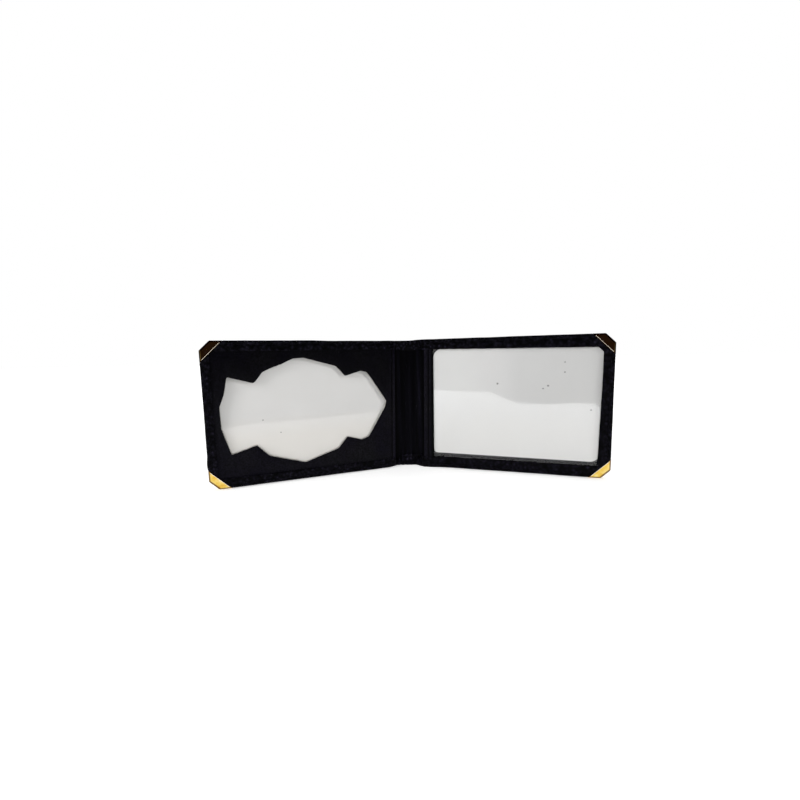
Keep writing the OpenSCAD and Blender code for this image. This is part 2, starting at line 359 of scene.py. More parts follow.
def thickness(s, inset, spec):
    """Level of the hem's face: thin over the spine and the gutters, and full over the pads. The rise
    is long at the pinched edge and short at the hem's raw edge."""
    pinched_w, long_w, short_w, edge_extra = 5.5, 8.5, 1.8, 0.75
    share = smooth(inset / pinched_w)
    long = smooth((s - skin(spec["rise"])) / long_w)
    short = smooth((s - skin(PAD_START - 1.6)) / short_w)
    low = FOLD_THICK + edge_extra * (1 - share)
    return low + (THICK - low) * (long * (1 - share) + short * share)


def insets(s, z):
    """Distances in from the outer side, and from the foot or the top."""
    return SKIN_END - s, np.minimum(z, COVER_H - z)


def hem_extra(s, spec, low):
    """How far the raw edge goes up, so that the hem is equally wide on both halves of the spine."""
    extra = SPINE_HEM - spec["hem"]
    return np.where(low, extra, spec["slant"] - extra) * (1 - smooth((s - 2.5) / 3.5))


def outline_runs(spec):
    """The half's outline from the spine's foot round to its top, and the hem's raw edge beside it."""
    end, cut, top = SKIN_END, CORNER_CUT, COVER_H
    face_end, hem, nick = SKIN_END - spec["side_hem"], spec["hem"], 0.5
    outer = [(0, 0), (end - cut, 0), (end, cut), (end, top - cut), (end - cut, top), (0, top)]
    lean, slant = spec["lean"], spec["slant"]
    raw = [
        (0, hem), (face_end - nick - lean, hem), (face_end - lean, hem + nick),
        (face_end + lean, top - hem + slant - spec["cut"]),
        (face_end + lean - spec["cut"], top - hem + slant), (0, top - hem - slant),
    ]
    return np.array(outer, float), np.array(raw, float)


def mitres(corners):
    """At each corner of an open outline, the way in that keeps an even inset."""
    ways = np.diff(corners, axis=0)
    ways /= np.linalg.norm(ways, axis=1)[:, None]
    normals = np.stack([-ways[:, 1], ways[:, 0]], 1)
    before, after = np.vstack([normals[:1], normals]), np.vstack([normals, normals[-1:]])
    return (before + after) / (1 + (before * after).sum(1))[:, None]


def stations():
    """Places along the five runs of a half's outline, as run number plus share."""
    fine, coarse = 0.3, STITCH / 6
    length = SKIN_END - CORNER_CUT
    near = np.arange(0, skin(8), fine)
    along = np.concatenate([near, np.arange(near[-1] + fine, length - coarse / 2, coarse)]) / length
    corner = np.linspace(0, 1, 7)[:-1]
    upright = np.linspace(0, 1, 116)[:-1]
    back = np.append(0, 1 - along[::-1])
    return np.concatenate([along, 1 + corner, 2 + upright, 3 + corner, 4 + back])


def at(values, where):
    """Values given at an outline's corners, at places between them."""
    run = np.minimum(where.astype(int), len(values) - 2)
    share = (where - run)[:, None]
    return values[run] * (1 - share) + values[run + 1] * share


def hem_profile():
    """Rows of the turned leather from the hem's raw edge to the back: inset from the outline, share of
    the way on to the raw edge, level as a constant and a share of the thickness, and the way out."""
    rows = [(2.8, 1, -0.16, 1, 0, 1), (2.8, 0.975, -0.04, 1, 0, 1)]
    rows += [(2.8, share, 0, 1, 0, 1) for share in (0.9, 0.78, 0.64, 0.5, 0.34, 0.18, 0)]
    rows += [(inset, 0, 0, 1, 0, 1) for inset in (2.5, 2.25, 2, 1.75, 1.5, 1.2)]
    turns = np.radians(np.arange(0, 91, 15))
    rows += [(TURN_R * (1 - math.sin(t)), 0, TURN_R * (math.cos(t) - 1), 1, math.sin(t), math.cos(t))
             for t in turns]
    rows += [(0, 0, TURN_R * (1 - 2 * f), f, 1, 0) for f in (0.85, 0.68, 0.5, 0.32, 0.15)]
    rows += [(TURN_R * (1 - math.cos(t)), 0, TURN_R * (1 - math.sin(t)), 0, math.cos(t), -math.sin(t))
             for t in turns]
    rows += [(inset, 0, 0, 0, 0, -1) for inset in (1.2, 1.5, 1.75, 2, 2.25, 2.5, 2.8, 3.6, 4.8, 6)]
    return rows


def seam_swell(s, z, inset, front, at_side):
    """The leather dips along the seam and swells between the needle holes, most at the spine's foot."""
    q = np.where(at_side, z - COVER_H / 2, s)
    beat = np.cos(2 * math.pi * q / STITCH)
    low = z < COVER_H / 2
    near_spine = np.exp(-(s / np.where(low, 13, 20)) ** 4)
    reach = 0.7 + near_spine * np.where(low, 2.6, 1.6) * front
    size = 0.05 + near_spine * np.where(low, 0.13, 0.15) * front
    off_seam = inset - SEAM_IN
    return size * beat * np.exp(-(off_seam / reach) ** 2) - 0.1 * np.exp(-(off_seam / 0.45) ** 2)


def uneven(points):
    """Broad and middling unevenness of a leather's face."""
    return 0.1 * lumps(points, 13, 1) + 0.05 * lumps(points, 4.5, 2)


def outline_sag(s, z, spec, at_side):
    """How far the outline stands out from its straight runs."""
    low = z < COVER_H / 2
    dip_end, dip_fade, dip_depth = spec["dip"]
    sag = humps(s, spec["sag"]) * low - dip_depth * smooth((dip_end - s) / dip_fade) * ~low
    return sag + humps(z, spec["bulge"]) * at_side


def drift_and_floor_sheen(points, z):
    """Slow random drift of the tone, and darker towards the top, as painted sheen from the floor on the
    lower leather.
    """
    return 0.4 * lumps(points, 5, 13) - 0.2 * smooth((z - 12) / 40)


def edge_wear_and_shade(flat, points, foot, inset, front):
    """Wear of the hem and the turned edge, strongest at the spine's top, with painted light on the crests
    of the foot's puckers and painted shade in their valleys.
    """
    s, z = flat.T
    high = z >= COVER_H / 2
    wear = (1.7 + 1.6 * high * np.exp(-(s / 26) ** 4)) * lumps(points, 1.1, 12)
    if front:
        # Painted light and shade: the puckers' crests lighter, their valleys darker.
        wear = wear + 1.3 * foot * puckers(points[:, 0]) + 1.3 * high * humps(points[:, 0], RUBBED_SPOT)
    elif inset > 2:
        wear = wear * smooth((6 - inset) / 3)
    return wear + drift_and_floor_sheen(points, z)


def outer_leather(half):
    """A half's outer skin: the hem, the turned edge and the back, from the spine's middle outwards."""
    spec = HALVES[half]
    made = Skin(spec["side"])
    corners, raw_corners = outline_runs(spec)
    where = stations()
    pinch_w = 0.36
    edge, way, raw = (at(v, where) for v in (corners, mitres(corners), raw_corners))
    raw[:, 1] += hem_extra(raw[:, 0], spec, where < 2.5)
    at_side = (where > 1) & (where < 4)
    rows = []
    for inset, share, base, times, side_out, face_out in hem_profile():
        flat = (edge + way * inset) * (1 - share) + raw * share
        level = base + times * thickness(edge[:, 0], inset + share * (spec["hem"] - inset), spec)
        points = np.stack([flat[:, 0], level, flat[:, 1]], 1) * (spec["side"], 1, 1)
        front = times == 1
        swell = uneven(points)
        end_in, rim_in = insets(*flat.T)
        if front or not times:
            depth_in = np.where(at_side, end_in, rim_in)
            swell = swell + abs(face_out) * seam_swell(flat[:, 0], flat[:, 1], depth_in, front, at_side)
        foot = np.exp(-((flat[:, 1] - 4) / 4) ** 2)
        if front:
            swell = swell + PUCKER_RISE * foot * puckers(points[:, 0])
        if share == 1:
            flat = flat + way * (0.1 * lumps(points, 5, 3))[:, None]
            end_in, rim_in = insets(*flat.T)
        pinch = smooth((CORNER_LEG + pinch_w / 2 - (end_in + rim_in)) / pinch_w)
        swell = swell * (1 - pinch) - pinch * (0.34 + 0.2 * side_out)
        sag = outline_sag(flat[:, 0], flat[:, 1], spec, at_side)
        flat = flat - way * (side_out * (swell + sag))[:, None]
        flat[:, 0] = np.where(points[:, 0] == 0, 0, flat[:, 0])
        wear = edge_wear_and_shade(flat, points, foot, inset, front)
        rows.append(made.row(flat[:, 0], level + face_out * swell, flat[:, 1], wear))
    made.loft(rows)
    add_back(made, rows[-1])
    return settle(thicken(made.piece(half + "_outer_leather"), LEATHER_T, BACK))


def add_back(made, border):
    """Fills the outer face inside the last row of the turned edge."""
    inset, step, fine = 6, 2, 0.6

    def back(s, z):
        return -uneven(spots(s * made.side, z))

    # Random drift of the back's tone, darker towards the top as painted floor sheen.
    def back_drift_and_sheen(s, z):
        return drift_and_floor_sheen(spots(s * made.side, z), z)

    seam_z = np.arange(inset + step, COVER_H - inset - 1, step)[::-1]
    seam_s = np.zeros_like(seam_z)
    loop = border + made.row(seam_s, back(seam_s, seam_z), seam_z, back_drift_and_sheen(seam_s, seam_z))
    ring = np.array([made.points[i] for i in loop])[:, ::2]
    s = np.concatenate([np.arange(fine, skin(6), fine), np.arange(skin(6) + 1, SKIN_END, step)])
    grid = within(lattice(s, np.arange(inset, COVER_H, step)), ring, 0.4)
    made.fill(loop, grid, back, wear=back_drift_and_sheen(*grid.T))


# Seam thread

def stitch_places():
    """Middle of each stitch on the flat pattern, with the way along the seam and the way in."""
    reach = SKIN_END - CORNER_LEG - STITCH
    for k in range(int(reach / STITCH) + 1):
        for z, way in ((SEAM_IN, 1), (COVER_H - SEAM_IN, -1)):
            yield np.array((k * STITCH, z)), np.array((1.0, 0)), np.array((0, 1.0)) * way
    half_count = int((COVER_H / 2 - CORNER_LEG - STITCH / 2) / STITCH)
    for k in range(-half_count, half_count + 1):
        yield (np.array((SKIN_END - SEAM_IN, COVER_H / 2 + k * STITCH)), np.array((0, 1.0)),
               np.array((-1.0, 0)))


def seam_thread(half):
    """Stitches in front and behind: short tubes whose ends dip into the leather."""
    spec = HALVES[half]
    made = Skin(spec["side"])
    shares = np.linspace(-1, 1, 9)
    half_share, slant = 0.43, 0.13
    for middle, along, way in stitch_places():
        for front in (True, False):
            start = 0 if middle[0] == 0 else -1
            t = shares[shares >= start]
            path = middle + np.outer(t * STITCH * half_share, along) + np.outer(t * slant, way)
            rise = 0.1 - 0.3 * t ** 4
            girth = THREAD_R * np.sqrt(1 - 0.8 * t ** 8)
            face = thickness(path[:, 0], SEAM_IN, spec) if front else np.zeros(len(t))
            out = 1 if front else -1
            rows = []
            for k in range(len(t)):
                flat = path[k] + np.outer(np.cos(SIXTHS) * girth[k], way)
                level = face[k] + out * (rise[k] - 0.08 + np.sin(SIXTHS) * girth[k])
                rows.append(made.row(flat[:, 0], level, flat[:, 1]))
            made.loft(rows, closed=True)
            made.faces.append(tuple(rows[0][::-1]))
            made.faces.append(tuple(rows[-1]))
    return settle(facing_way(made.piece(half + "_seam_thread")), 60)


# Linings

def drift(z, start=0.0):
    """How far an upright fold wanders aside at a height."""
    return 0.35 * np.sin(z / 19 + start)


def crumple(z):
    """Share of the puckers that the lining takes, most just above the spine's hem."""
    return np.exp(-((z - SPINE_HEM) / 5) ** 2)


def lining_folds(s, z, side):
    """Soft upright folds of the lining, with short crumples above the spine's foot."""
    place_s = s * side
    folds = 0.0
    for middle, width, size in LINING_FOLDS:
        folds = folds + size * np.exp(-((place_s - middle - drift(z, middle)) / width) ** 2)
    folds = folds + PUCKER_RISE * crumple(z) * puckers(place_s)
    folds = folds + 0.06 * lumps(spots(place_s, z * 0.25), 3, 5)
    return folds * smooth(np.abs(place_s) / 1.2)


def lining(half):
    """The badge half's lining ends under the panel. The identity half's goes on up the board's edge
    and over the board as the floor of the pocket."""
    spec = HALVES[half]
    made = Skin(spec["side"])
    z = np.linspace(HIDDEN_HEM, COVER_H - HIDDEN_HEM, 112)
    gutter = np.append(np.arange(0, skin(PANEL_EDGE), 0.35), skin(PAD_START - 0.5))
    path = [(s, LINING_LEVEL, 1) for s in gutter]
    if half == "id":
        r, corner = LINING_T, PAD_START + LINING_T
        path += [(skin(PAD_START - 0.1), LINING_LEVEL, 0), (skin(PAD_START), LINING_LEVEL + 0.12, 0)]
        path += [(skin(PAD_START), level, 0) for level in (2.2, 3.0, POCKET_LEVEL - r)]
        path += [(skin(corner - r * math.cos(t)), POCKET_LEVEL - r + r * math.sin(t), 0)
                 for t in np.radians((22, 45, 68, 90))]
        path += [(skin(x), POCKET_LEVEL, 0) for x in np.arange(corner + 1, PAD_END - HIDDEN_HEM, 4)]
    else:
        path += [(skin(x), LINING_LEVEL, 0) for x in (PAD_START, PAD_START + 0.5)]
    rows = []
    for s, level, soft in path:
        lift = soft * lining_folds(np.full_like(z, s), z, spec["side"]) if soft else 0
        fade = smooth((skin(PANEL_EDGE) - s) / 1.5)
        across = np.full_like(z, s * spec["side"]) - drift(z)
        patchy = 0.8 + 0.3 * np.sin(z / 7 + s)
        # Painted light and shade on the lining: lit bands lighter, creases and the gutter's corners
        # darker, and the crumples lighter on their crests and darker in their valleys.
        wear = humps(across, LINING_PAINTED_SHADING) * patchy * (0.3 + 0.7 * smooth((z - 5) / 7))
        wear = wear + 1.1 * crumple(z) * puckers(across)
        rows.append(made.row(s, level + lift * fade, z, np.clip(wear, -2.5, 1.8)))
    made.loft(rows[::-1])
    return settle(thicken(made.piece(half + "_lining"), LINING_T - 0.02, FRONT))


# Badge side

def cutout_ring():
    """The cut-out's outline as close points, with rounded corners and a hand-cut wander."""
    shares = np.array(CUTOUT_SHARES, float)
    corners = np.stack([skin(CUTOUT_START) + shares[:, 0] * CUTOUT_LEN,
                        COVER_H / 2 + shares[:, 1] * CUTOUT_HALF_H], 1)
    ring = closer(corners, 0.6, 2)
    ring = (np.roll(ring, 1, 0) + 2 * ring + np.roll(ring, -1, 0)) / 4
    points = spots(*ring.T)
    sway = 0.12 * (lumps(points, 2.3, 6) + 0.6 * lumps(points, 0.9, 7))
    for nick in CUTOUT_NICKS:
        sway = sway - 0.5 * np.exp(-((ring - nick) ** 2).sum(1) / 0.3)
    return ring + outwards(ring) * sway[:, None]


def badge_facing():
    """The panel's smooth leather, turned down at its edge by the spine and open over the cut-out."""
    spec = HALVES["badge"]
    made = Skin(spec["side"])
    ring = cutout_ring()
    low, high, step = HIDDEN_HEM, COVER_H - HIDDEN_HEM, 1.2
    z = np.linspace(low, high, 62)
    lean = (COVER_H / 2 - z) / LEAN_H

    def face(s, z):
        near_cut = np.exp(-(distance(np.stack([s, z], 1), ring) / 0.7) ** 2)
        hem_in = np.minimum(np.minimum(z, COVER_H - z) - spec["hem"], SKIN_END - spec["side_hem"] - s)
        pillow = 0.22 * smooth(hem_in / 4) * smooth((s - skin(8)) / 3)
        return FACE_LEVEL + pillow - 0.22 * near_cut + 0.07 * lumps(spots(s, z), 9, 8)

    # Painted reflection of the floor's sheen: the panel's leather is darker towards the top.
    def painted_floor_sheen(z):
        return -0.9 * smooth((z - 34) / 30)

    r, corner, crease = FACING_T, PANEL_EDGE + FACING_T, PANEL_EDGE + 2.1
    # The wear paints shade on the turned-down riser and in the crease, and a highlight along the turned
    # edge.
    path = [(PANEL_EDGE, level, -0.4) for level in (LINING_LEVEL + 0.05, 2, 3, FACE_LEVEL - r)]
    path += [(corner - r * math.cos(t), FACE_LEVEL - r + r * math.sin(t), 0.8 * math.sin(t) ** 2)
             for t in np.radians((15, 30, 45, 60, 75, 90))]
    path += [(crease + off, FACE_LEVEL - dip, wear) for off, dip, wear in FACING_CREASE]
    rows = []
    for x, level, wear in path:
        leaning = lean * (0.8 + 0.5 * smooth((x - PANEL_EDGE) / 1.4))
        rows.append(made.row(skin(x) + leaning, level, z, wear + 0.4 * painted_floor_sheen(z)))
    made.loft(rows[::-1])
    start = skin(path[-1][0])
    end = SKIN_END - HIDDEN_HEM
    bottom_s = np.arange(start + step, end, step)
    bottom = made.row(bottom_s, face(bottom_s, np.full_like(bottom_s, low)), low)
    outer = made.row(end, face(np.full_like(z, end), z), z, painted_floor_sheen(z))
    top_s = bottom_s[::-1]
    top = made.row(top_s, face(top_s, np.full_like(top_s, high)), high, painted_floor_sheen(high))
    hole = made.row(ring[:, 0], face(*ring.T), ring[:, 1], painted_floor_sheen(ring[:, 1]))
    loop = rows[-1][::-1] + bottom + outer + top
    grid = lattice(np.arange(start, end, step), np.arange(low, high, step))
    grid = np.vstack([grid, beside(ring, (-0.25, 0.25, -0.55, 0.55))])
    bounds = np.array([(start + 1.3 * lean[0], low), (end, low), (end, high),
                       (start + 1.3 * lean[-1], high)])
    grid = within(grid, bounds, 0.5)
    grid = grid[~inside(grid, ring) & (distance(grid, ring) > 0.2)]
    made.fill(loop, grid, face, hole, painted_floor_sheen(grid[:, 1]))
    return settle(thicken(made.piece("badge_facing"), FACING_T - 0.04, FRONT))


def slab(name, side, s_range, z_range, face, depth, step, seed, warp,
         rounds=(0, 0, 0, 0), tilt=0.0, lift=None, extra=(), specks=()):
    """A thin card or film with rounded corners and a slight warp, lifted by a function of its places.
    Its foot is higher by tilt at the spine side. A speck of dirt is a place and a radius."""
    made = Skin(side)
    (s0, s1), (z0, z1) = s_range, z_range
    ring = []
    corners = ((s1, z0, -90), (s1, z1, 0), (s0, z1, 90), (s0, z0 + tilt, 180))
    for (cs, cz, first), r in zip(corners, rounds):
        mid = (cs - math.copysign(r, cs - (s0 + s1) / 2), cz - math.copysign(r, cz - (z0 + z1) / 2))
        turns = np.radians(np.linspace(first, first + 90, 9)) if r else np.array([0.0])
        ring.extend((mid[0] + r * math.cos(t), mid[1] + r * math.sin(t)) for t in turns)
    ring = closer(np.array(ring), step, 1)

    def level(s, z):
        flat = face + warp * lumps(spots(s, z), 22, seed)
        return flat + lift(s, z) if lift else flat

    loop = made.row(ring[:, 0], level(*ring.T), ring[:, 1])
    grid = within(lattice(np.arange(s0, s1, step), np.arange(z0, z1, step)), ring, step * 0.3)
    wear = np.zeros(len(grid))
    for cs, cz, radius in specks:
        dots = [(cs, cz), (cs + 0.2 * radius, cz - 0.1 * radius)]
        dots += [(cs + radius * math.cos(t), cz + 0.8 * radius * math.sin(t)) for t in SIXTHS]
        grid = np.vstack([grid, dots])
        wear = np.append(wear, (-2.0, -2.0) + (0.0,) * 6)
    if len(extra):
        grid = np.vstack([grid, extra])
        wear = np.append(wear, np.zeros(len(extra)))
    made.fill(loop, grid, level, wear=wear)
    return settle(thicken(made.piece(name), depth, FRONT))


def badge_lift(s, z):
    """The badge's card stands forward in the foot of the cut-out, and lies flat under the core."""
    ring = cutout_ring()
    flat = np.stack([s, z], 1)
    apart = distance(flat, ring) * np.where(inside(flat, ring), -1, 1)
    bow, low, rise = 0.85, 14, 40
    return bow * (1 - smooth((z - low) / rise)) * (1 - smooth((apart - 0.15) / 0.4))


# Identity side

def window_strip():
    """The binding strip: a folded leather strip with a pressed crease, swept up the film's edge."""
    made = Skin(1)
    start, end, back = PAD_START + 1.25, PAD_START + 6.9, PAD_START + 3.8
    r, top, crease = 0.5, THICK, PAD_START + 4.15
    back_foot, back_face, front_foot = 4.25, 4.5, 4.86
    # The third number of each row is wear: it paints shade in the crease, highlights on the turned edge
    # and beside the crease, and darkens the cut end, partly its own dark edge and partly painted shadow.
    section = [(back, back_face, 0), (back, back_foot, 0), (start + 0.15, back_foot, 0), (start, 4.4, -1),
               (start, top - r, 0)]
    section += [(start + r - r * math.cos(t), top - r + r * math.sin(t), 0.7)
                for t in np.radians((22, 45, 68, 90))]
    section += [(crease - 0.8, top, -0.1), (crease - 0.25, top - 0.08, -1.2), (crease, top - 0.22, -1.8),
                (crease + 0.25, top - 0.08, -0.7), (crease + 0.6, top, 0.6), (end - 1.2, top, -0.4),
                (end - 0.8, top, -1.9), (end - 0.4, top, -3.5), (end - 0.15, top - 0.05, -4),
                (end, top - 0.2, -4), (end, front_foot, -4), (start + 0.55, front_foot, 0),
                (start + 0.55, back_face, 0)]
    foot_gap, top_tuck = 0.05, 0.42
    z = np.linspace(SPINE_HEM + foot_gap, COVER_H - SPINE_HEM + top_tuck, 90)
    lean = 0.62 * (z - COVER_H / 2) / LEAN_H
    rows = []
    for x, level, wear in section:
        points = np.stack([np.full_like(z, x), np.full_like(z, level), z], 1)
        sway = 0.07 * lumps(points, 6, 10) * (level >= front_foot)
        steady = 1 - smooth((x - crease - 1) / 2)
        rows.append(made.row(skin(x) + lean * steady + 0.4 * sway, level + sway, z, wear))
    rows.append(rows[0])
    made.loft(rows)
    made.faces.append(tuple(row[0] for row in rows[:-1]))
    made.faces.append(tuple(row[-1] for row in rows[:-1]))
    return settle(facing_way(made.piece("window_strip")))


# Materials

class Nodes:
    """The nodes of a material or a world. What goes into a node is another's output, or a plain value."""

    def __init__(self, owner):
        self.owner = owner
        owner.use_nodes = True
        self.tree = owner.node_tree

    def feed(self, socket, value):
        """Links a socket to an output, or sets it to a value."""
        if isinstance(value, bpy.types.NodeSocket):
            self.tree.links.new(value, socket)
        elif socket.type == "RGBA":
            socket.default_value = (*value, 1)
        else:
            socket.default_value = value

    def node(self, kind, inputs=(), **settings):
        made = self.tree.nodes.new("ShaderNode" + kind)
        for key, value in settings.items():
            setattr(made, key, value)
        for key, value in dict(inputs).items():
            self.feed(made.inputs[key], value)
        return made

    def maths(self, operation, *terms, clamp=False):
        made = self.node("Math", dict(enumerate(terms)), operation=operation, use_clamp=clamp)
        return made.outputs[0]

    def times(self, a, b):
        return self.maths("MULTIPLY", a, b)

    def minus(self, a, b):
        return self.maths("SUBTRACT", a, b)

    def plus(self, a, b, share):
        """a plus a share of b"""
        return self.maths("MULTIPLY_ADD", b, share, a)

    def step(self, value, start, end, low=0.0, high=1.0):
        """Runs from low to high as the value runs from start to end."""
        ends = {"From Min": start, "From Max": end, "To Min": low, "To Max": high}
        return self.node("MapRange", {"Value": value, **ends}).outputs["Result"]

    def split(self, vector):
        return self.node("SeparateXYZ", {0: vector}).outputs

    def mixed(self, share, a, b, blend="MIX"):
        made = self.node("Mix", {"Factor": share, 6: a, 7: b}, data_type="RGBA", blend_type=blend)
        return made.outputs[2]

    def ramp(self, value, stops):
        """A colour, or a grey given as one number, for each of the stops."""
        made = self.node("ValToRGB", {"Fac": value})
        while len(made.color_ramp.elements) < len(stops):
            made.color_ramp.elements.new(0.5)
        for element, (where, colour) in zip(made.color_ramp.elements, stops):
            element.position = where
            element.color = (*colour, 1) if hasattr(colour, "__len__") else (colour, colour, colour, 1)
        return made.outputs["Color"]

    def seen_directly(self):
        """1 for camera, glossy and transmission rays."""
        path = self.node("LightPath").outputs
        total = path["Is Camera Ray"]
        for kind in ("Is Glossy Ray", "Is Transmission Ray"):
            total = self.maths("ADD", total, path[kind], clamp=True)
        return total


class Finish(Nodes):
    """A Principled material whose colour, roughness and bump come from textures in the mesh's space."""

    def __init__(self, name, pattern=True, **sockets):
        super().__init__(bpy.data.materials.new(name))
        self.shader = self.tree.nodes["Principled BSDF"]
        for key, value in sockets.items():
            self.set(key.replace("_", " "), value)
        if pattern:
            self.place = self.node("Attribute", attribute_name="pattern").outputs["Vector"]
        else:
            spot = self.node("TexCoord").outputs["Object"]
            self.place = self.node("VectorMath", {0: spot, "Scale": 1 / MM}, operation="SCALE").outputs[0]

    def set(self, key, value):
        """Feeds one of the shader's own sockets."""
        self.feed(self.shader.inputs[key], value)

    def noise(self, per_mm, detail=2.0, stretch=(1, 1, 1)):
        place = self.node("Mapping", {"Scale": stretch, "Vector": self.place}).outputs["Vector"]
        return self.node("TexNoise", {"Scale": per_mm, "Detail": detail, "Vector": place}).outputs["Fac"]

    def cells(self, per_mm, wander=0.0):
        place = self.place
        if wander:
            turn = self.node("TexNoise", {"Scale": per_mm * 0.7, "Vector": place}).outputs["Color"]
            place = self.node("Mix", {"Factor": wander, 4: place, 5: turn}, data_type="VECTOR").outputs[1]
        return self.node("TexVoronoi", {"Scale": per_mm, "Vector": place}).outputs["Distance"]

    def toned_by_wear_and_shade(self, colour):
        """Sets a colour that the mesh's wear makes darker in creases and lighter on abraded ridges.
        The wear holds painted shade and painted highlights as well as real wear and dirt.
        """
        rub = self.node("Attribute", attribute_name="wear").outputs["Fac"]
        factor = self.maths("POWER", 2.4, rub)
        toned = self.node("VectorMath", {0: colour, "Scale": factor}, operation="SCALE")
        self.set("Base Color", toned.outputs[0])

    def rough(self, value, low, high):
        self.set("Roughness", self.step(value, 0, 1, low, high))

    def bump(self, height, depth):
        self.set("Normal", self.node("Bump", {"Distance": depth * MM, "Height": height}).outputs["Normal"])

    def on(self, piece, slot):
        piece.data.materials.clear()
        piece.data.materials.append(self.owner)
        return piece


def grained_leather():
    """Pebbled leather: the pebbles' crowns are lighter than the valleys between them, partly from
    burnishing and partly as painted sheen on the crowns and painted shade in the valleys.
    """
    made = Finish("grained_leather", Specular_IOR_Level=0.04)
    pebbles = made.cells(0.85, wander=0.35)
    fine = made.noise(3.2, 3)
    broad = made.noise(0.16, 2)
    burnish_and_sheen = made.ramp(made.plus(pebbles, fine, 0.5), [(0.42, 1.0), (0.95, 0.12)])
    tone = made.ramp(broad, [(0.3, (0.0040, 0.0036, 0.0066)), (0.72, (0.0092, 0.0082, 0.0142))])
    made.toned_by_wear_and_shade(made.mixed(1.0, tone, burnish_and_sheen, "MULTIPLY"))
    made.rough(fine, 0.4, 0.62)
    made.bump(made.plus(made.plus(fine, pebbles, -2.2), broad, 0.5), 0.13)
    return made


def smooth_leather():
    """Leather with a fine grain, for the badge panel and the binding strip."""
    made = Finish("smooth_leather", Specular_IOR_Level=0.05)
    fine = made.noise(1.5, 4)
    broad = made.noise(0.07, 2)
    tone = made.ramp(broad, [(0.3, (0.0038, 0.0032, 0.0070)), (0.5, (0.0056, 0.0051, 0.0080)),
                             (0.72, (0.0068, 0.0066, 0.0084))])
    grain = made.ramp(fine, [(0.34, 0.3), (0.68, 1.35)])
    made.toned_by_wear_and_shade(made.mixed(1.0, tone, grain, "MULTIPLY"))
    made.rough(broad, 0.45, 0.6)
    made.bump(made.plus(fine, made.cells(2.2), 0.3), 0.04)
    return made


def lining_leather():
    """Darker leather with upright streaks."""
    made = Finish("lining_leather", Specular_IOR_Level=0.035)
    streaks = made.noise(0.35, 3, (1, 1, 0.06))
    fine = made.noise(2.2, 3)
    tone = made.ramp(streaks, [(0.34, (0.0006, 0.0005, 0.0013)), (0.66, (0.0030, 0.0028, 0.0052))])
    grain = made.ramp(fine, [(0.34, 0.45), (0.66, 1.2)])
    made.toned_by_wear_and_shade(made.mixed(1.0, tone, grain, "MULTIPLY"))
    made.rough(streaks, 0.42, 0.58)
    made.bump(made.plus(fine, streaks, 1.5), 0.04)
    return made


def glossy_card(name, light, foot):
    """White card with a gloss coat. Its foot tints towards the given colour, a painted warm reflection
    of the floor.
    """
    made = Finish(name, Coat_Weight=1.0, Coat_Roughness=0.02, Coat_IOR=1.7, Specular_IOR_Level=0.2)
    cloud = made.noise(0.05, 3)
    dirt = made.ramp(made.cells(0.09, wander=0.3), [(0.0, 0.35), (0.016, 1.0)])
    tint = made.ramp(cloud, [(0.3, [0.975 * v for v in light]), (0.7, light)])
    height = made.split(made.place)[2]
    # Painted warm reflection of the floor: the card tints towards the foot colour below its middle.
    toned = made.mixed(made.step(height, 37, 24), tint, foot, "MULTIPLY")
    made.toned_by_wear_and_shade(made.mixed(1.0, toned, dirt, "MULTIPLY"))
    made.rough(cloud, 0.5, 0.65)
    made.bump(made.noise(0.15, 2), 0.006)
    return made


def clear_film():
    """Film that mirrors a little, and less where it lies on the dark lining below the card."""
    made = Finish("clear_film", Metallic=1.0)
    cloud = made.noise(0.08, 3)
    made.set("Base Color", made.ramp(cloud, [(0.3, (0.93, 0.95, 0.96)), (0.7, (0.98, 0.98, 0.97))]))
    made.rough(made.noise(0.05, 2), 0.03, 0.06)
    made.bump(made.noise(0.03, 1), 0.03)
    height = made.split(made.place)[2]
    made.set("Alpha", made.step(height, ID_CARD_FOOT - 0.2, ID_CARD_FOOT + 0.4, 0.025, 0.05))
    return made


